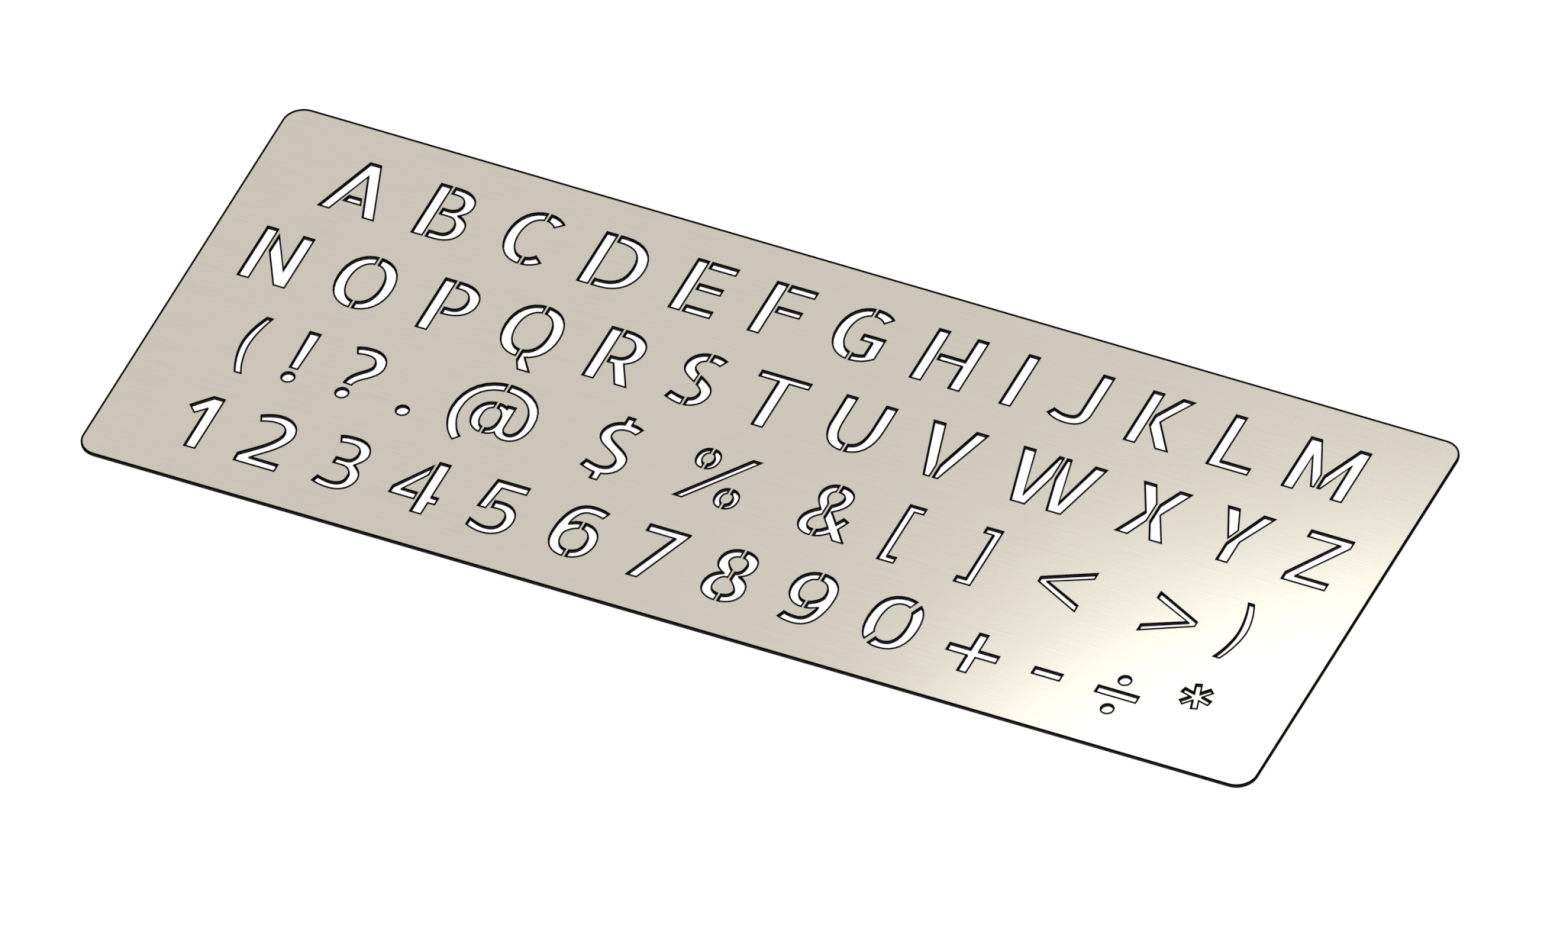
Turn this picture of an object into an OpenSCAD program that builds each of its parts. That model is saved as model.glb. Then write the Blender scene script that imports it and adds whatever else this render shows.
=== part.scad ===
// Lettering stencil: one thin rectangular sheet with rounded corners. Capitals, signs
// and figures are cut right through it in four rows. Where a letter would let its inside
// fall out, a narrow bridge of the sheet is left standing across the stroke.

/* [Sheet] */
// Length of the sheet
sheet_l = 254; // [240:1:290]
// Width of the sheet
sheet_w = 100; // [88:1:130]
// Thickness of the sheet
sheet_t = 0.5; // [0.3:0.1:2]
// Radius of the four corners
corner_r = 4.3; // [1:0.1:8]
// Blank end of the longest row
side_margin = 9.5; // [6:0.5:14]

/* [Lettering] */
// Height of a flat-topped capital
cap_h = 14; // [12:0.25:15]
// Width of an upright stroke
stem_w = 2.35; // [1.9:0.05:2.6]
// Width of the top and foot of a round letter
thin_w = 1.885; // [1.5:0.005:2.1]
// Width of the top and foot arm of a straight letter
arm_w = 1.76; // [1.4:0.02:2]
// Width of a crossbar
bar_w = 1.6; // [1.2:0.02:1.9]
// Width of a bracket
bracket_w = 1.56; // [1.2:0.02:1.9]
// Width of the arms of the plus sign
plus_w = 1.94; // [1.5:0.02:2.2]
// Width of an arm of the asterisk
star_w = 1.3; // [1:0.05:1.5]
// Width of the small rings of the percent sign
ring_w = 1.26; // [1:0.02:1.5]
// Diameter of a full stop
dot_d = 2.73; // [2:0.01:3]
// Diameter of the two dots of the division sign
small_dot_d = 2.67; // [2:0.01:2.8]
// Bridge left across a stroke
bridge_w = 0.73; // [0.5:0.01:1]
// Slanted bridge of the zero
slash_w = 1.35; // [0.9:0.05:1.6]

/* [Smoothness] */
// Straight pieces in a quarter turn
arc_steps = 8; // [4:1:10]

/* [Hidden] */

sheet_colour = [0.80, 0.77, 0.72];

// Letters are drawn in units, 14 to the height of a capital. A unit is 1 mm at that size.
units_high = 14;
u = cap_h / units_high;
top = units_high;
stem = stem_w / u;
thin = thin_w / u;
arm = arm_w / u;
bar = bar_w / u;
bracket = bracket_w / u;
gap = bridge_w / u;

// Round letters stand a little proud of the line, above and below
round_top = 14.2;
round_foot = -0.07;
round_mid = (round_top + round_foot) / 2;

// How square a quarter turn is: 0.55 draws an ellipse
roundness = 0.61;

// Each row: what is cut, and how far its middle lies from the middle of the sheet
rows = [
    [["A", -104.63], ["B", -85.73], ["C", -68.04], ["D", -48.99], ["E", -30.49], ["F", -13.4],
     ["G", 3.54], ["H", 22.57], ["I", 37.8], ["J", 50.71], ["K", 68.23], ["L", 85.77], ["M", 104.1]],
    [["N", -112.19], ["O", -92.94], ["P", -74.31], ["Q", -56.8], ["R", -38.01], ["S", -21.12],
     ["T", -4.98], ["U", 13.47], ["V", 32.71], ["W", 55.28], ["X", 77.47], ["Y", 95.55], ["Z", 113.04]],
    [["(", -106.89], ["!", -96.14], ["?", -83.14], [".", -71.4], ["@", -54.24], ["$", -28.57],
     ["%", -5.97], ["&", 18.98], ["[", 34.06], ["]", 50.64], ["<", 69.43], [">", 93.13], [")", 106.71]],
    [["1", -107.81], ["2", -92.19], ["3", -75.77], ["4", -59.54], ["5", -42.46], ["6", -25.42],
     ["7", -8.56], ["8", 7.63], ["9", 24.64], ["0", 42.72], ["+", 60.79], ["-", 76.77],
     ["/", 91.85], ["*", 106.66]]
];
row_count = len(rows);
// The rows share the width out evenly, with the same blank strip above, between and below
row_gap = (sheet_w - row_count * cap_h) / (row_count + 1);
// The longest row fills the length between the side margins
longest_row = 235;
spread = (sheet_l - 2 * side_margin) / longest_row;

// A curve from p to q, drawn towards a and b on the way. Its last point is left out.
function curve(p, a, b, q) = [
    for (i = [0 : arc_steps - 1])
        let (t = i / arc_steps, s = 1 - t)
        s * s * s * p + 3 * s * s * t * a + 3 * s * t * t * b + t * t * t * q
];

// A quarter turn that leaves p level and reaches q upright
function level_up(p, q, k = roundness) =
    curve(p, [p.x + k * (q.x - p.x), p.y], [q.x, q.y - k * (q.y - p.y)], q);

// A quarter turn that leaves p upright and reaches q level
function up_level(p, q, k = roundness) =
    curve(p, [p.x, p.y + k * (q.y - p.y)], [q.x - k * (q.x - p.x), q.y], q);

// A closed round shape through its right, top, left and foot. The squareness of its four
// quarter turns runs from the upper right to the lower right.
function egg(right, head, left, foot, k = [roundness, roundness, roundness, roundness]) = concat(
    up_level(right, head, k[0]),
    level_up(head, left, k[1]),
    up_level(left, foot, k[2]),
    level_up(foot, right, k[3])
);

// A closed oval about a centre
function oval(c, a, b, k = roundness) =
    egg([c.x + a, c.y], [c.x, c.y + b], [c.x - a, c.y], [c.x, c.y - b], [k, k, k, k]);

// A pen path is a list of stops: x, y, the way the pen heads there and the stroke's width.
// Between two stops the stroke bends smoothly and its width changes evenly. A fifth value,
// where there is one, sets how square the bend is that ends at the stop.
function unit(heading) = [cos(heading), sin(heading)];

// A quarter turn takes the usual roundness, and a straight run a third
function bend(turn) = 1 / 3 + (roundness - 1 / 3) * (1 - abs(cos(turn)));

function pen_side(from, to, side) =
    let (
        p = [from.x, from.y],
        q = [to.x, to.y],
        d = unit(from[2]),
        e = unit(to[2]),
        k = is_undef(to[4]) ? bend(to[2] - from[2]) : to[4],
        a = p + d * k * abs((q - p) * d),
        b = q - e * k * abs((q - p) * e)
    )
    [
        for (i = [0 : arc_steps])
            let (
                t = i / arc_steps,
                s = 1 - t,
                at = s * s * s * p + 3 * s * s * t * a + 3 * s * t * t * b + t * t * t * q,
                way = s * s * (a - p) + 2 * s * t * (b - a) + t * t * (q - b),
                across = [-way.y, way.x] / norm(way),
                w = from[3] * s + to[3] * t
            )
            at + across * side * w / 2
    ];

function reversed(list) = [for (i = [len(list) - 1 : -1 : 0]) list[i]];

// One side of a whole pen path, without doubled points
function pen_edge(stops, side) = [
    for (i = [0 : len(stops) - 2])
        let (run = pen_side(stops[i], stops[i + 1], side), last = i == len(stops) - 2)
        for (j = [0 : len(run) - (last ? 1 : 2)]) run[j]
];

module pen(stops) {
    polygon(concat(pen_edge(stops, 1), reversed(pen_edge(stops, -1))));
}

// A pen path that comes back to its first stop
module pen_loop(stops) {
    closed = concat(stops, [stops[0]]);
    difference() {
        polygon(pen_edge(closed, -1));
        polygon(pen_edge(closed, 1));
    }
}

module box(x0, y0, x1, y1) {
    translate([x0, y0]) square([x1 - x0, y1 - y0]);
}

// Upright stroke at its left edge
module upright(x) {
    box(x, 0, x + stem, top);
}

// Upright gap that keeps a bridge of the sheet
module bridge(x) {
    box(x - gap / 2, -5, x + gap / 2, 20);
}

// Round stroke of an oval letter
module ring(x, a, k = roundness) {
    c = [x, round_mid];
    b = round_top - round_mid;
    difference() {
        polygon(oval(c, a, b, k));
        polygon(oval(c, a - stem, b - thin, k));
    }
}

// Flat on the left, round on the right: the outside or the inside of a bowl.
// The round part starts at low along the foot and at high along the head.
module bowl(left, low, high, right, foot, mid, head, k = roundness) {
    polygon(concat(
        [[left, foot]],
        level_up([low, foot], [right, mid], k),
        up_level([right, mid], [high, head], k),
        [[high, head], [left, head]]
    ));
}

module dot(x, y, d = dot_d / u) {
    translate([x, y]) circle(d = d, $fn = 48);
}

module letter_a() {
    foot = 5.96;
    tip = 1.16;
    inner = foot - stem;
    apex = 10.45;
    low = 2.88;
    difference() {
        polygon([[-foot, 0], [foot, 0], [tip, top], [-tip, top]]);
        polygon([[-inner, 0], [inner, 0], [0, apex]]);
    }
    function inside(y) = inner * (1 - y / apex) - gap;
    polygon([
        [-inside(low), low],
        [inside(low), low],
        [inside(low + bar), low + bar],
        [-inside(low + bar), low + bar]
    ]);
}

module letter_b() {
    left = -4.73;
    open = left + stem + gap;
    upright(left);
    difference() {
        union() {
            bowl(open, 0.2, 0.2, 4.73, 0, 4, 7.65);
            bowl(open, -0.7, -0.7, 3.93, 6.7, 10.3, top);
        }
        bowl(open - 1, 0.42, 0.42, 4.85 - stem, arm - 0.05, 4.08, 8.05 - bar);
        bowl(open - 1, -0.48, -0.48, 4.07 - stem, 8.05, 10.14, top - arm);
    }
}

module letter_c() {
    x = 0.94;
    mouth = [-1.56, round_mid];
    difference() {
        ring(x, 5.77);
        bridge(x);
        polygon([mouth, mouth + [11.6, -10], mouth + [11.6, 10]]);
    }
}

module letter_d() {
    left = -5.67;
    open = left + stem + gap;
    upright(left);
    difference() {
        bowl(open, -0.7, -1.48, 5.65, 0, top / 2, top);
        bowl(open - 1, -1.7, -2.08, 5.56 - stem, arm - 0.05, 6.97, top - arm, 0.69);
    }
}

module letter_e() {
    left = -4.4;
    open = left + stem + gap;
    upright(left);
    box(open, 0, 4.4, arm);
    box(open, 6.29, 3.81, 6.29 + bar);
    box(open, top - arm, 4.4, top);
}

module letter_f() {
    left = -4.39;
    open = left + stem + gap;
    upright(left);
    box(open, 6.29, 3.81, 6.29 + bar);
    box(open, top - arm, 4.38, top);
}

module letter_g() {
    x = 0.65;
    split = 0.185;
    side = 5.23;
    inner = side - stem + 0.04;
    shelf = 7.25;
    difference() {
        union() {
            difference() {
                ring(x, 5.88);
                box(x, -1, 8, round_mid + 1);
                polygon([[-1.13, round_mid], [9, round_mid], [9, 17.2]]);
            }
            difference() {
                polygon(concat(
                    [[split, shelf], [split, round_foot]],
                    level_up([x, round_foot], [x + 6.4, round_mid]),
                    [[x + 6.4, shelf]]
                ));
                polygon(concat(
                    [[split - 1, shelf - bar], [split - 1, 1.57]],
                    curve([x, 1.57], [1.6, 1.66], [2.4, 1.8], [inner, 2.15]),
                    [[inner, 2.15], [inner, shelf - bar]]
                ));
                box(side, -1, side + 5, 10);
            }
        }
        bridge(split);
    }
}

module letter_h() {
    edge = 5.34;
    upright(-edge);
    upright(edge - stem);
    box(-edge + stem + gap, 6.29, edge - stem + 0.5, 6.29 + bar);
}

module letter_i() {
    upright(-stem / 2);
}

module letter_j() {
    right = 4.24;
    inner = right - stem;
    polygon(concat(
        [[inner, 14.29], [inner, 4.2]],
        curve([inner, 4.2], [inner, 2.5], [1.35, 1.95], [-0.4, 1.94]),
        curve([-0.4, 1.94], [-1.5, 1.94], [-2.4, 2.3], [-3.35, 2.74]),
        [[-3.35, 2.74], [-4.24, 1.28]],
        curve([-4.24, 1.28], [-2.9, 0.35], [-1.6, -0.09], [0.2, -0.09]),
        level_up([0.2, -0.09], [right, 4.2], 0.68),
        [[right, 14.29]]
    ));
}

module letter_k() {
    left = -4.71;
    open = left + stem + gap;
    upright(left);
    polygon([
        [open, 5.4], [2.1, 0], [4.74, 0], [0.05, 6.81], [0.85, 8.35], [4.3, top], [1.74, top], [open, 8.2]
    ]);
}

module letter_l() {
    upright(-4.4);
    box(-4.4, 0, 4.39, arm);
}

module letter_m() {
    edge = 6.47;
    inner = edge - stem;
    difference() {
        for (side = [-1, 1])
            polygon([
                [side * edge, 0], [side * edge, top], [side * (inner + 0.04), top], [0, 4.6],
                [0, 1.84], [side * 1, 1.84], [side * inner, 9.55], [side * inner, 0]
            ]);
        bridge(0);
    }
}

module letter_n() {
    edge = 5.07;
    open = -edge + stem + gap;
    upright(-edge);
    polygon([
        [open, 8.2], [2.7, 0], [edge, 0], [edge, top], [edge - stem, top],
        [edge - stem, 4.5], [open, 12.83]
    ]);
}

module letter_o() {
    difference() {
        ring(0, 5.84);
        bridge(0);
    }
}

module p_bowl(open) {
    difference() {
        bowl(open, open + 0.65, open + 0.65, open + 5.88, 5.04, 9.55, top);
        bowl(open - 1, open + 1.15, open + 1.15, open + 5.98 - stem, 6.75, 9.5, top - arm);
    }
}

module letter_p() {
    left = -4.46;
    upright(left);
    p_bowl(left + stem + gap);
}

module letter_q() {
    difference() {
        union() {
            ring(0, 5.85);
            polygon([[0, 1], [0, -0.2], [1.55, -3.21], [4.15, -3.21], [1.3, 0.6]]);
        }
        bridge(0);
    }
}

module letter_r() {
    left = -4.74;
    open = left + stem + gap;
    upright(left);
    p_bowl(open);
    polygon([[2.22, 0], [4.73, 0], [1.6, 5.75], [-0.4, 5.75], [-0.4, 5.2]]);
}

module s_stroke() {
    pen([
        [3.02, 12.67, 152, thin], [0.6, 13.25, 180, thin], [-2.88, 10.3, 270, stem - 0.1],
        [0.2, 7.1, 328, 2], [2.97, 3.95, 270, stem - 0.15], [-0.4, 0.84, 180, thin],
        [-3.85, 1.66, 163, thin - 0.15]
    ]);
}

module letter_s() {
    difference() {
        s_stroke();
        bridge(-0.04);
    }
}

module letter_t() {
    upright(-stem / 2);
    box(-5.34, top - bar, 5.34, top);
}

module letter_u() {
    a = 5.46;
    shoulder = 7.6;
    inner = a - stem;
    difference() {
        polygon(concat(
            [[a, top], [a, shoulder]],
            up_level([a, shoulder], [0, round_foot], 0.66),
            level_up([0, round_foot], [-a, shoulder], 0.66),
            [[-a, top]]
        ));
        polygon(concat(
            [[inner, top + 1]],
            up_level([inner, shoulder], [0, thin], 0.71),
            level_up([0, thin], [-inner, shoulder], 0.71),
            [[-inner, shoulder], [-inner, top + 1]]
        ));
        bridge(0);
    }
}

module letter_v() {
    head = 5.87;
    inner = head - stem - 0.15;
    difference() {
        polygon([[-head, top], [-1.65, -0.08], [1.42, -0.08], [head, top]]);
        polygon([[-inner, top + 0.01], [inner, top + 0.01], [0.1, 2.55], [-0.2, 2.55]]);
        bridge(0);
    }
}

module letter_w() {
    head = 8.96;
    difference() {
        for (side = [-1, 1])
            polygon([
                [side * head, top], [side * 5.4, -0.08], [side * 2.35, -0.08], [0, 9.9], [0, top],
                [side * 1.3, top], [side * 3.8, 2.6], [side * (head - stem - 0.15), top]
            ]);
        bridge(0);
    }
}

module letter_x() {
    difference() {
        polygon([
            [-5.02, 0], [-2.38, 0], [0, 5.35], [2.38, 0], [5.02, 0], [1.6, 6.8], [5.18, top],
            [2.58, top], [0, 8.6], [-2.58, top], [-5.18, top], [-1.58, 6.8]
        ]);
        bridge(0);
    }
}

module letter_y() {
    head = 5.13;
    left = -1.26;
    polygon([[-head, top], [-1.52, 5.99], [-0.5, 8.65], [-2.62, top]]);
    polygon([
        [left, 0], [left + stem, 0], [left + stem, 5.82], [head, top], [2.62, top], [left, 4.8]
    ]);
}

module letter_z() {
    edge = 4.65;
    foot = thin - 0.03;
    polygon([
        [-edge, 0], [edge, 0], [edge, foot], [-2.3, foot], [edge - 0.02, 12.1],
        [edge - 0.02, top], [-edge, top], [-edge, top - foot], [2.18, top - foot], [-edge, 1.9]
    ]);
}

module sign_open_paren() {
    polygon(concat(
        curve([0.1, 14.39], [-0.8, 12.4], [-1.71, 9.5], [-1.71, 7]),
        curve([-1.71, 7], [-1.71, 4.1], [-0.7, 1], [0.35, -1.17]),
        [[0.35, -1.17]],
        curve([1.76, -1.17], [0.7, 0.93], [-0.11, 4.1], [-0.11, 6.5]),
        curve([-0.11, 6.5], [-0.11, 9.2], [0.59, 12.3], [1.37, 14.39]),
        [[1.37, 14.39]]
    ));
}

module sign_exclamation() {
    polygon([[-0.87, 3.84], [0.87, 3.84], [stem / 2, top], [-stem / 2, top]]);
    dot(0, 1.3);
}

module sign_question() {
    pen([
        [-3.32, 12.74, 25, thin - 0.1], [-0.6, 13.24, 0, thin], [2.58, 10.2, 270, stem - 0.1],
        [0.45, 6.95, 222, stem - 0.25], [-1.34, 3.9, 266, thin - 0.1]
    ]);
    dot(-1.34, 1.3);
}

module sign_at() {
    difference() {
        union() {
            pen([
                [-4.25, -1.56, 139, thin - 0.2], [-6.35, 1, 118, thin - 0.08], [-7.7, 6.1, 90, thin],
                [0, 14.23, 0, thin], [7.68, 6.6, 270, thin], [4.75, 1.98, 180, thin - 0.15],
                [2.5, 4.4, 90, thin - 0.08], [2.5, 9.91, 90, thin - 0.08]
            ]);
            pen_loop([
                [-0.2, 9.28, 180, 1.32], [-3.18, 5.9, 270, thin + 0.06], [-0.2, 2.2, 0, 1.32],
                [2.4, 5.75, 90, 1.7]
            ]);
        }
        bridge(-0.45);
    }
}

module sign_dollar() {
    s_stroke();
    box(-0.76, 13, -0.76 + bar, 15.77);
    box(-0.95, -1.86, -0.95 + bar, 1);
}

module percent_ring(x, y, split) {
    difference() {
        polygon(oval([x, y], 2.44, 2.73));
        polygon(oval([x, y], 2.44 - ring_w / u, 2.73 - ring_w / u));
        bridge(split);
    }
}

module sign_percent() {
    polygon([[-6.44, 0], [-4.5, 0], [6.44, top], [4.5, top]]);
    percent_ring(-3.99, 11.28, -3.95);
    percent_ring(3.95, 2.72, 3.85);
}

module sign_ampersand() {
    split = -1.445;
    difference() {
        union() {
            intersection() {
                pen([
                    [4.67, -0.5, 129, 1.83], [-0.6, 6.05, 130, 1.83], [-2.98, 9, 121, 1.78],
                    [-3.6, 10.9, 90, thin], [-1.2, 13.2, 0, thin - 0.08]
                ]);
                box(-6, 0, 6, 15);
            }
            pen([
                [-1.2, 13.2, 0, thin - 0.08], [1.47, 11.1, 270, 1.84], [-1.2, 7.35, 216, 1.75],
                [-4.52, 3.2, 270, 1.93], [-1.9, 0.68, 0, 1.65], [1.15, 2.2, 47, 1.75],
                [3.4, 5.88, 64, 1.42]
            ]);
        }
        bridge(split);
    }
}

module sign_bracket() {
    edge = 1.76;
    foot = -1.16;
    head = 14.38;
    box(-edge, foot, -edge + bracket, head);
    box(-edge, foot, edge, foot + bracket);
    box(-edge, head - bracket, edge, head);
}

module sign_less() {
    end = 5.06;
    polygon([
        [-end, 4.85], [end, -0.1], [end, 1.6], [-3.23, 5.48], [end, 9.25], [end, 10.95], [-end, 6.1]
    ]);
}

module figure_1() {
    right = 2.89;
    polygon([
        [right - stem, 0], [right, 0], [right, top], [0.52, top], [-2.97, 10.4], [-1.33, 8.76],
        [right - stem, 10.62]
    ]);
}

module figure_2() {
    left = -4.34;
    intersection() {
        union() {
            pen([
                [-4.08, 12.12, 24, thin - 0.25], [-0.5, 13.09, 0, thin + 0.1], [3.05, 9.9, 270, stem - 0.07],
                [2.5, 8, 243, 2.15], [-0.2, 4.57, 224, 2.03], [-4.5, 0.62, 222, 2.03]
            ]);
            box(left, 0, 4.39, thin);
        }
        box(left - 0.06, 0, 5, 15);
    }
}

module figure_3() {
    waist = (stem + bar) / 2 - 0.3;
    pen([
        [-3.47, 12.78, 22, thin - 0.1], [-0.7, 13.18, 0, thin - 0.1], [2.53, 10.3, 270, stem - 0.15],
        [1.66, 8.18, 233, waist], [-0.4, 7.24, 180, bar], [-2.3, 7.24, 180, bar]
    ]);
    pen([
        [-2.3, 7.24, 0, bar], [-0.4, 7.24, 0, bar], [1.99, 6.26, 316, waist], [3, 3.95, 270, stem - 0.1],
        [-0.5, 0.78, 180, thin - 0.17], [-3.88, 1.4, 162, thin - 0.2]
    ]);
}

module figure_4() {
    right = 3.48;
    stub = 3.26;
    bar_top = stub + thin - 0.06;
    open = right - stem - gap;
    polygon([
        [-4.93, stub], [open, stub], [open, bar_top], [-2.85, bar_top], [open, 10.15],
        [open, 12.97], [-4.93, 5.08]
    ]);
    upright(right - stem);
    box(right - 1, stub, 4.93, bar_top);
}

module figure_5() {
    polygon([
        [-4.22, 6.18], [-2.5, 6.18], [-1.73, top - thin], [3.52, top - thin], [3.52, top], [-3.43, top]
    ]);
    intersection() {
        pen([
            [-1.5, 7.66, 3, thin], [0.1, 7.76, 0, thin], [3.22, 4.5, 270, stem - 0.3],
            [-0.5, 0.79, 180, thin - 0.15], [-4.6, 1.95, 155, thin - 0.15]
        ]);
        box(-4.21, -1, 6, 10);
    }
}

module figure_6() {
    belly = [-3.67, 5.1, 270, stem - 0.13, 0.48];
    pen([[3.52, 12.62, 157, thin - 0.1], [0.4, 13.17, 180, thin - 0.03], [-3.43, 9, 259, 2], belly]);
    difference() {
        pen_loop([
            belly, [0.1, 0.82, 0, thin - 0.08], [3.76, 4.8, 90, stem - 0.3], [0.4, 8.68, 180, thin - 0.2]
        ]);
        bridge(0.205);
    }
}

module figure_7() {
    edge = 4.39;
    polygon([
        [-3.15, 0], [-0.9, 0], [edge, 13.7], [edge, top], [-edge, top], [-edge, top - thin],
        [1.65, top - thin]
    ]);
}

module figure_8() {
    flat = 0.27;
    difference() {
        union() {
            polygon(egg([3.88, 10.65], [0, 14.12], [-4, 10.5], [0, 7.08]));
            polygon(egg([4.42, 3.65], [0, 7.7], [-4.42, 3.65], [0, -0.1]));
        }
        polygon(egg(
            [4.22 - stem, 10.65], [0, 14.12 - thin], [stem - 4.27, 10.5], [0.35, 8.15],
            [roundness, roundness, flat, roundness]
        ));
        polygon(egg(
            [4.65 - stem, 3.55], [-0.45, 6.4], [stem - 4.7, 3.65], [0, thin - 0.1],
            [flat, roundness, roundness, roundness]
        ));
        bridge(0);
    }
}

module figure_9() {
    rotate(180) translate([0, -top]) figure_6();
}

module figure_0() {
    difference() {
        ring(0, 5.37, 0.65);
        translate([-0.13, round_mid]) rotate(-24.5) box(-slash_w / u / 2, -10, slash_w / u / 2, 10);
    }
}

module sign_plus() {
    reach = 5.35;
    half = plus_w / u / 2;
    box(-reach, reach - half, reach, reach + half);
    box(-half, 0, half, 2 * reach);
}

module sign_minus(reach = 3.01) {
    box(-reach, 5.555 - thin / 2, reach, 5.555 + thin / 2);
}

module sign_divide() {
    sign_minus(4.42);
    for (y = [1.27, 9.44])
        dot(-0.1, y, small_dot_d / u);
}

module sign_star() {
    translate([-0.03, 10.6])
        for (turn = [46 : 60 : 346])
            rotate(turn) translate([0, -star_w / u / 2]) square([3.32, star_w / u]);
}

module glyph(c) {
    if (c == "A") letter_a();
    if (c == "B") letter_b();
    if (c == "C") letter_c();
    if (c == "D") letter_d();
    if (c == "E") letter_e();
    if (c == "F") letter_f();
    if (c == "G") letter_g();
    if (c == "H") letter_h();
    if (c == "I") letter_i();
    if (c == "J") letter_j();
    if (c == "K") letter_k();
    if (c == "L") letter_l();
    if (c == "M") letter_m();
    if (c == "N") letter_n();
    if (c == "O") letter_o();
    if (c == "P") letter_p();
    if (c == "Q") letter_q();
    if (c == "R") letter_r();
    if (c == "S") letter_s();
    if (c == "T") letter_t();
    if (c == "U") letter_u();
    if (c == "V") letter_v();
    if (c == "W") letter_w();
    if (c == "X") letter_x();
    if (c == "Y") letter_y();
    if (c == "Z") letter_z();
    if (c == "(") sign_open_paren();
    if (c == ")") mirror([1, 0]) sign_open_paren();
    if (c == "!") sign_exclamation();
    if (c == "?") sign_question();
    if (c == ".") dot(0, 1.3);
    if (c == "@") sign_at();
    if (c == "$") sign_dollar();
    if (c == "%") sign_percent();
    if (c == "&") sign_ampersand();
    if (c == "[") sign_bracket();
    if (c == "]") mirror([1, 0]) sign_bracket();
    if (c == "<") sign_less();
    if (c == ">") mirror([1, 0]) sign_less();
    if (c == "1") figure_1();
    if (c == "2") figure_2();
    if (c == "3") figure_3();
    if (c == "4") figure_4();
    if (c == "5") figure_5();
    if (c == "6") figure_6();
    if (c == "7") figure_7();
    if (c == "8") figure_8();
    if (c == "9") figure_9();
    if (c == "0") figure_0();
    if (c == "+") sign_plus();
    if (c == "-") sign_minus();
    if (c == "/") sign_divide();
    if (c == "*") sign_star();
}

module cut_rows() {
    for (i = [0 : row_count - 1])
        for (item = rows[i]) {
            base = row_gap + (row_count - 1 - i) * (cap_h + row_gap);
            translate([item[1] * spread, base - sheet_w / 2]) scale(u) glyph(item[0]);
        }
}

module sheet_outline() {
    x = sheet_l / 2;
    y = sheet_w / 2;
    box(-x + corner_r, -y, x - corner_r, y);
    box(-x, -y + corner_r, x, y - corner_r);
    for (side = [-1, 1], end = [-1, 1])
        translate([side * (x - corner_r), end * (y - corner_r)]) circle(r = corner_r, $fn = 64);
}

module stencil_sheet() {
    color(sheet_colour)
        linear_extrude(sheet_t)
            difference() {
                sheet_outline();
                cut_rows();
            }
}

stencil_sheet();
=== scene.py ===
import math

import bmesh
import bpy
from mathutils import Matrix, Vector
from mathutils.geometry import tessellate_polygon


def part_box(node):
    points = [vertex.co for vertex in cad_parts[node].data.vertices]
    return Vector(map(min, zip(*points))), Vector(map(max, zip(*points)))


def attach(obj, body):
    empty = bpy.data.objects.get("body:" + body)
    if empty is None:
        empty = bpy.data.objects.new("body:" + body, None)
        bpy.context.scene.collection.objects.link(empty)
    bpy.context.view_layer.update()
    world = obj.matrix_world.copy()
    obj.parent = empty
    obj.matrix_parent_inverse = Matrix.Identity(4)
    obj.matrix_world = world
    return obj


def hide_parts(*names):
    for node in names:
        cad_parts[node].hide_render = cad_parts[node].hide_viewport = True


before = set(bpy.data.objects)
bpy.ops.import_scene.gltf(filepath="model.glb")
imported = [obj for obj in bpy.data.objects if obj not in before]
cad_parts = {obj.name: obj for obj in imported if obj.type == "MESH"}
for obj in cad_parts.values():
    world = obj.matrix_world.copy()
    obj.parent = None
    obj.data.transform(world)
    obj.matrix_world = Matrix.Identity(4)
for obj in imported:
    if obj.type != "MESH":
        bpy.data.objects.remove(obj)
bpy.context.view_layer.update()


# Stencil sheet
# The whole tool is one flat sheet of satin steel, half a millimetre thick. A laser cuts
# the letters, the signs and the outline out of it in one go. It leaves every cut dark,
# with a narrow burnt rim that lies over the cut's edge on both faces.

cad_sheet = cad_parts["stencil_sheet"]
sheet_low, sheet_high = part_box("stencil_sheet")

burn_on_face = 0.000165  # how far the burnt rim reaches over the face
burn_in_cut = 0.000205  # how far it stands into the opening
burn_at_foot = 0.000222  # the same at the foot of the wall, where the melt ran out
outline_burn = 0.000412  # round the outline the whole rim lies on the face
burn_drop = 0.00002  # the rim's outer edge lies this much under the face
longest_corner = 2.0  # most that the rim sticks out at a sharp corner, in rim widths

# The laser's spot is a little oval, so the rim is wider on walls that face its long way.
# The widths above are those across its short way. round_spot turns the oval into a circle.
# This way lies flat on the sheet and points toward the viewer; the walls that face it also carry
# the painted light of the wall band.
toward_viewer = Vector((0.49, -0.87))
spot_shape = 0.72
round_spot = Matrix.Scale(spot_shape, 2, toward_viewer)

facing_up = 0.9  # the normal of a face on top of the sheet rises more than this
same_point = 0.0000001
shortest_step = 0.00003  # points of a cut that lie closer than this become one
sharpest_fold = 0.01  # keeps the step at a corner finite where a cut folds back on itself
untangling_rounds = 12
soft_angle = math.radians(20)
burnt_slot = 1


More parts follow.
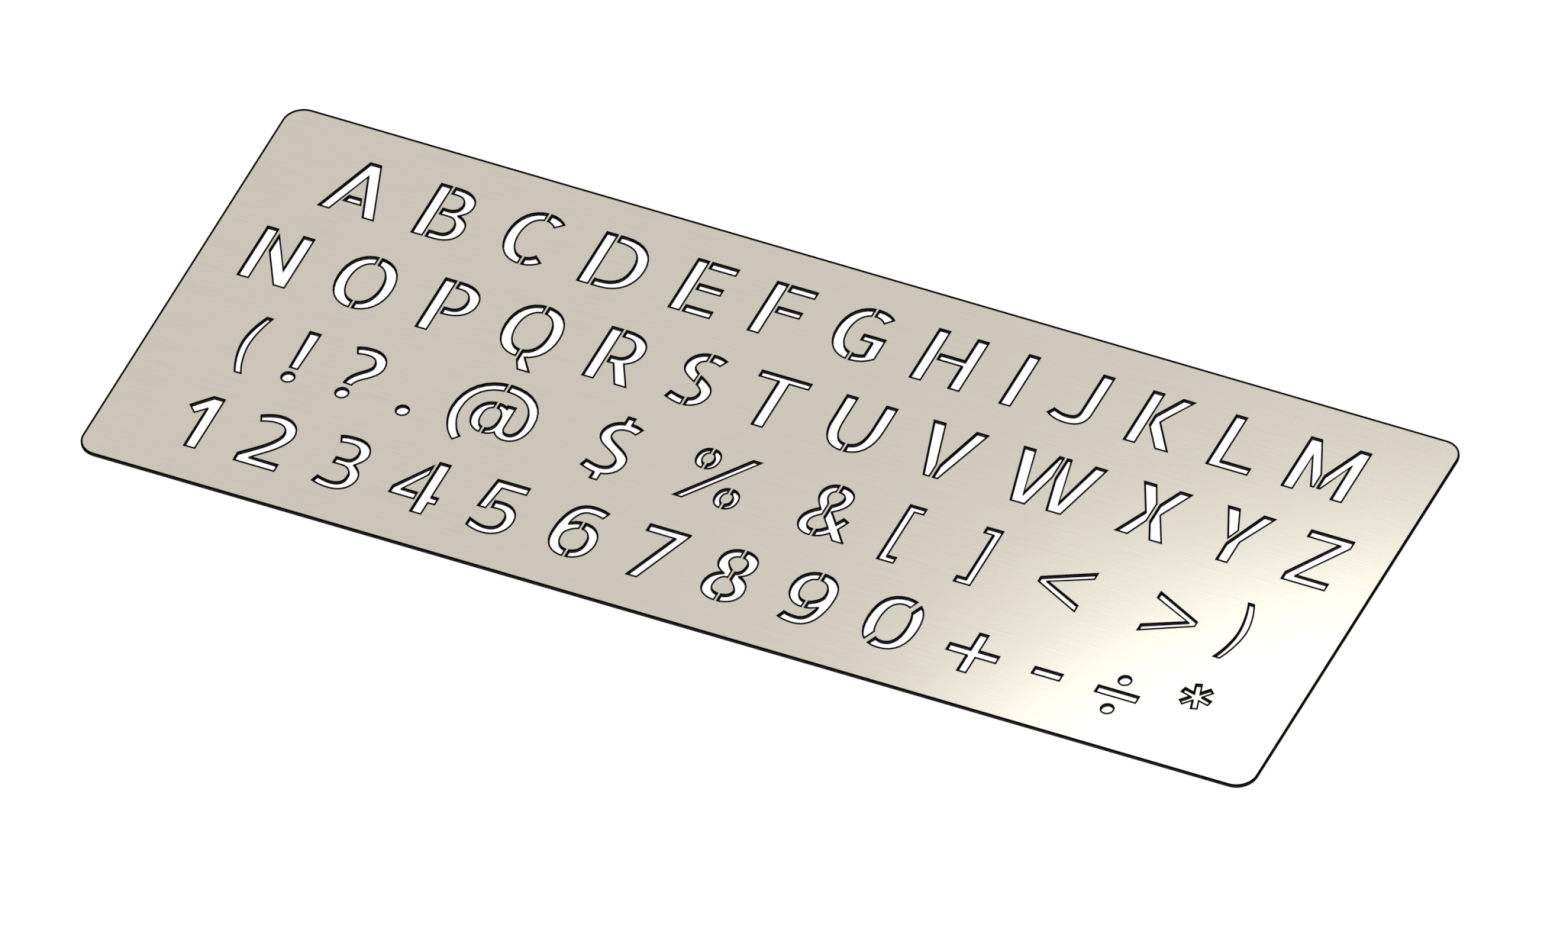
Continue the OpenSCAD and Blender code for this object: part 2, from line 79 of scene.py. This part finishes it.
def cut_lines(node):
    """Every cut, and the outline, as a ring of points with the metal on its left."""
    solid = bmesh.new()
    solid.from_mesh(node.data)
    bmesh.ops.remove_doubles(solid, verts=solid.verts, dist=same_point)
    following = {}
    for face in solid.faces:
        if face.normal.z < facing_up:
            continue
        for corner in face.loops:
            neighbour = [other for other in corner.edge.link_faces if other != face][0]
            if neighbour.normal.z < facing_up:
                following[corner.vert] = corner.link_loop_next.vert
    rings = []
    while following:
        at = next(iter(following))
        ring = []
        while at in following:
            place = at.co.xy.copy()
            if not ring or (place - ring[-1]).length > shortest_step:
                ring.append(place)
            at = following.pop(at)
        if (ring[0] - ring[-1]).length < shortest_step:
            ring.pop()
        rings.append(ring)
    solid.free()
    return rings


def aside(ring, width):
    """The same ring moved sideways: into the metal, or out of it where the width is negative."""
    if width == 0:
        return ring
    ring = [round_spot @ point for point in ring]
    count = len(ring)
    ways = [(ring[(i + 1) % count] - ring[i]).normalized() for i in range(count)]
    sides = [Vector((-way.y, way.x)) for way in ways]
    longest = longest_corner * abs(width)
    moved = []
    for i, point in enumerate(ring):
        turn = sides[i - 1].dot(sides[i])
        step = (sides[i - 1] + sides[i]) * (width / max(1 + turn, sharpest_fold))
        sticks_out = step.dot(ways[i]) < 0
        if sticks_out and step.length > longest:
            step = step.normalized() * longest
        moved.append(point + step)

    # A stretch that now runs backwards shrinks to its middle, and so may its neighbours.
    for _ in range(untangling_rounds):
        for i in range(count):
            j = (i + 1) % count
            if (moved[j] - moved[i]).dot(ways[i]) < 0:
                moved[i] = moved[j] = (moved[i] + moved[j]) / 2
    oval_spot = round_spot.inverted()
    return [oval_spot @ point for point in moved]


def sheet_mesh(node, low, high):
    """Both faces, and between them the burnt rims and the walls of the cuts."""
    sheet = bmesh.new()
    rings = cut_lines(node)
    outline = max(rings, key=lambda ring: max(point.x for point in ring))
    levels = []
    for height, cut_width, outline_width in (
        (high.z, burn_on_face, outline_burn),
        (high.z - burn_drop, -burn_in_cut, 0),
        (low.z + burn_drop, -burn_at_foot, 0),
        (low.z, burn_on_face, outline_burn),
    ):
        level = []
        for ring in rings:
            width = outline_width if ring is outline else cut_width
            level.append([sheet.verts.new((*p, height)) for p in aside(ring, width)])
        levels.append(level)

    wall_head = levels[1]
    for upper, lower in zip(levels, levels[1:]):
        for above, below in zip(upper, lower):
            for i in range(len(above)):
                burnt = sheet.faces.new((above[i - 1], below[i - 1], below[i], above[i]))
                burnt.material_index = burnt_slot
                burnt.smooth = upper is wall_head
    for level in (levels[0], levels[-1]):
        corners = [corner for line in level for corner in line]
        for triangle in tessellate_polygon([[corner.co for corner in line] for line in level]):
            sheet.faces.new([corners[k] for k in triangle])

    bmesh.ops.remove_doubles(sheet, verts=sheet.verts, dist=same_point)
    bmesh.ops.dissolve_degenerate(sheet, edges=sheet.edges, dist=same_point)
    bmesh.ops.recalc_face_normals(sheet, faces=sheet.faces)
    for edge in sheet.edges:
        edge.smooth = edge.calc_face_angle(0) < soft_angle
    mesh = bpy.data.meshes.new("lettering_sheet")
    sheet.to_mesh(mesh)
    sheet.free()
    return mesh


def streaks(tree, place, stretch, detail):
    """Noise on the sheet's own coordinates, finer along an axis where stretch is larger."""
    stretched = tree.nodes.new("ShaderNodeMapping")
    stretched.inputs["Scale"].default_value = stretch
    tree.links.new(place.outputs["Object"], stretched.inputs["Vector"])
    noise = tree.nodes.new("ShaderNodeTexNoise")
    noise.inputs["Scale"].default_value = 1.0
    noise.inputs["Detail"].default_value = detail
    tree.links.new(stretched.outputs["Vector"], noise.inputs["Vector"])
    return noise.outputs["Fac"]


def graded(tree, amount, *stops):
    """The colour that amount picks from the stops, each a position and a colour."""
    ramp = tree.nodes.new("ShaderNodeValToRGB")
    elements = ramp.color_ramp.elements
    elements.remove(elements[1])
    elements[0].position, elements[0].color = stops[0]
    for position, colour in stops[1:]:
        elements.new(position).color = colour
    tree.links.new(amount, ramp.inputs["Fac"])
    return ramp.outputs["Color"]


def spread(tree, amount, low, high, new_low=0.0, new_high=1.0):
    """The amount, with the range from low to high spread over new_low to new_high."""
    spreading = tree.nodes.new("ShaderNodeMapRange")
    spreading.inputs["From Min"].default_value = low
    spreading.inputs["From Max"].default_value = high
    spreading.inputs["To Min"].default_value = new_low
    spreading.inputs["To Max"].default_value = new_high
    tree.links.new(amount, spreading.inputs["Value"])
    return spreading.outputs["Result"]


def roughen(tree, height, strength, depth):
    """Fine relief in the surface of the finish, raised where height is larger."""
    relief = tree.nodes.new("ShaderNodeBump")
    relief.inputs["Strength"].default_value = strength
    relief.inputs["Distance"].default_value = depth
    tree.links.new(height, relief.inputs["Height"])
    tree.links.new(relief.outputs["Normal"], tree.nodes["Principled BSDF"].inputs["Normal"])


def satin_steel():
    """Warm satin steel, with fine rolled grain along the sheet and faint duller clouds."""
    finish = bpy.data.materials.new("satin_steel")
    finish.use_nodes = True
    tree = finish.node_tree
    steel = tree.nodes["Principled BSDF"]
    steel.inputs["Metallic"].default_value = 1.0

    place = tree.nodes.new("ShaderNodeTexCoord")
    grain = streaks(tree, place, stretch=(70, 4200, 4200), detail=3.0)
    darker_grey = (0.5237, 0.4961, 0.4244, 1)
    lighter_grey = (0.5498, 0.5203, 0.4457, 1)
    warm_grey = graded(tree, grain, (0.3, darker_grey), (0.7, lighter_grey))
    tree.links.new(warm_grey, steel.inputs["Base Color"])

    clouds = streaks(tree, place, stretch=(22, 22, 22), detail=4.0)
    satin = spread(tree, clouds, 0.3, 0.7, new_low=0.152, new_high=0.172)
    tree.links.new(satin, steel.inputs["Roughness"])
    roughen(tree, grain, strength=0.04, depth=0.00002)
    return finish


def burnt_cut_and_painted_light():
    """Black scale, with fine upright lines and, high on the walls, a lighter brownish band of
    painted light.

    The painted light shows only on walls that face toward the viewer or straight away from it.
    """
    finish = bpy.data.materials.new("burnt_cut_and_painted_light")
    finish.use_nodes = True
    tree = finish.node_tree
    scale = tree.nodes["Principled BSDF"]
    scale.inputs["Roughness"].default_value = 0.6
    scale.inputs["Specular IOR Level"].default_value = 0.01

    place = tree.nodes.new("ShaderNodeTexCoord")
    height = tree.nodes.new("ShaderNodeSeparateXYZ")
    tree.links.new(place.outputs["Object"], height.inputs["Vector"])
    share = spread(tree, height.outputs["Z"], sheet_low.z, sheet_high.z)
    black = (0.002, 0.002, 0.002, 1)
    # The lighter colour of the band is painted light: the lit look of the walls on the viewer's
    # side.
    lit_wall_grey = (0.145, 0.135, 0.125, 1)
    band = graded(tree, share, (0.69, black), (0.84, lit_wall_grey), (0.955, black))

    # Painted light: the band is kept only where the wall faces toward the viewer or straight
    # away.
    facing = tree.nodes.new("ShaderNodeVectorMath")
    facing.operation = "DOT_PRODUCT"
    facing.inputs[1].default_value = (*toward_viewer, 0)
    tree.links.new(place.outputs["Normal"], facing.inputs[0])
    either_side = tree.nodes.new("ShaderNodeMath")
    either_side.operation = "ABSOLUTE"
    tree.links.new(facing.outputs["Value"], either_side.inputs[0])
    banded = tree.nodes.new("ShaderNodeMix")
    banded.data_type = "RGBA"
    banded.inputs["A"].default_value = black
    tree.links.new(band, banded.inputs["B"])
    shown = spread(tree, either_side.outputs["Value"], 0.72, 0.87)
    tree.links.new(shown, banded.inputs["Factor"])

    lines = streaks(tree, place, stretch=(9000, 9000, 300), detail=2.0)
    in_line = (0.1, 0.1, 0.1, 1)
    beside_line = (1, 1, 1, 1)
    lined = tree.nodes.new("ShaderNodeMix")
    lined.data_type = "RGBA"
    lined.blend_type = "MULTIPLY"
    lined.inputs["Factor"].default_value = 1.0
    tree.links.new(banded.outputs["Result"], lined.inputs["A"])
    tree.links.new(graded(tree, lines, (0.38, in_line), (0.65, beside_line)), lined.inputs["B"])
    tree.links.new(lined.outputs["Result"], scale.inputs["Base Color"])
    roughen(tree, lines, strength=0.3, depth=0.00002)
    return finish


lettering_sheet = bpy.data.objects.new(
    "lettering_sheet", sheet_mesh(cad_sheet, sheet_low, sheet_high)
)
bpy.context.scene.collection.objects.link(lettering_sheet)
lettering_sheet.data.materials.append(satin_steel())
lettering_sheet.data.materials.append(burnt_cut_and_painted_light())
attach(lettering_sheet, "root")
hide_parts("stencil_sheet")


# Floor
# A plain white table that glows a little, so that nothing but white shows through
# the cut letters and round the sheet.

half_floor = 3.0
floor_drop = 0.00002
floor_grey = (0.3, 0.3, 0.3, 1)
floor_glow = 0.8


def table_white():
    """Dull white that also gives off light of its own."""
    finish = bpy.data.materials.new("table_white")
    finish.use_nodes = True
    paint = finish.node_tree.nodes["Principled BSDF"]
    paint.inputs["Base Color"].default_value = floor_grey
    paint.inputs["Roughness"].default_value = 1.0
    paint.inputs["Specular IOR Level"].default_value = 0.0
    paint.inputs["Emission Color"].default_value = (1, 1, 1, 1)
    paint.inputs["Emission Strength"].default_value = floor_glow
    return finish


floor_mesh = bpy.data.meshes.new("white_table")
floor_mesh.from_pydata(
    [
        (-half_floor, -half_floor, 0),
        (half_floor, -half_floor, 0),
        (half_floor, half_floor, 0),
        (-half_floor, half_floor, 0),
    ],
    [],
    [(0, 1, 2, 3)],
)
floor_mesh.materials.append(table_white())
white_table = bpy.data.objects.new("white_table", floor_mesh)
white_table.location.z = -floor_drop
bpy.context.scene.collection.objects.link(white_table)


# Light
# Even white light from all round, and one small soft lamp above the far side that puts
# a bright patch on the corner nearest the viewer's right hand.

surround_strength = 1.1
lamp_target = Vector((0.2054, -0.1459, 0.0))
lamp_way = Vector((-0.34363, 0.60523, 0.71809))
lamp_reach = 0.60
lamp_width = 0.249
lamp_watts = 0.2776
lamp_tint = (0.92, 0.95, 1.0)

surround = bpy.data.worlds.new("white_surround")
surround.use_nodes = True
sky = surround.node_tree.nodes["Background"]
sky.inputs["Color"].default_value = (1, 1, 1, 1)
sky.inputs["Strength"].default_value = surround_strength
bpy.context.scene.world = surround
bpy.context.scene.view_settings.view_transform = "Standard"

lamp_light = bpy.data.lights.new("corner_lamp", "AREA")
lamp_light.shape = "DISK"
lamp_light.size = lamp_width
lamp_light.energy = lamp_watts
lamp_light.color = lamp_tint
corner_lamp = bpy.data.objects.new("corner_lamp", lamp_light)
corner_lamp.location = lamp_target + lamp_way * lamp_reach
corner_lamp.rotation_euler = (-lamp_way).to_track_quat("-Z", "Y").to_euler()
corner_lamp.visible_camera = False
bpy.context.scene.collection.objects.link(corner_lamp)


# Camera
# A parallel view from the lower left of the sheet, half way up, as in the photograph.
# The aim lies a little to the right of the sheet's middle and a little below it.

view_width = 0.30562
aim_right = 0.0027155
aim_down = 0.0029327
camera_distance = 1.5
farthest_seen = 10

view_right = Vector((0.90167, 0.42639, -0.07210)).normalized()
view_back = Vector((0.34363, -0.60523, 0.71809))
view_back = (view_back - view_right * view_back.dot(view_right)).normalized()
view_up = view_back.cross(view_right)
face_middle = Vector((0, 0, sheet_high.z))
aim = face_middle + view_right * aim_right - view_up * aim_down

lens = bpy.data.cameras.new("camera")
lens.type = "ORTHO"
lens.ortho_scale = view_width
lens.clip_end = farthest_seen
camera = bpy.data.objects.new("camera", lens)
camera_turn = Matrix((view_right, view_up, view_back)).transposed().to_4x4()
camera.matrix_world = Matrix.Translation(aim + view_back * camera_distance) @ camera_turn
bpy.context.scene.collection.objects.link(camera)
bpy.context.scene.camera = camera
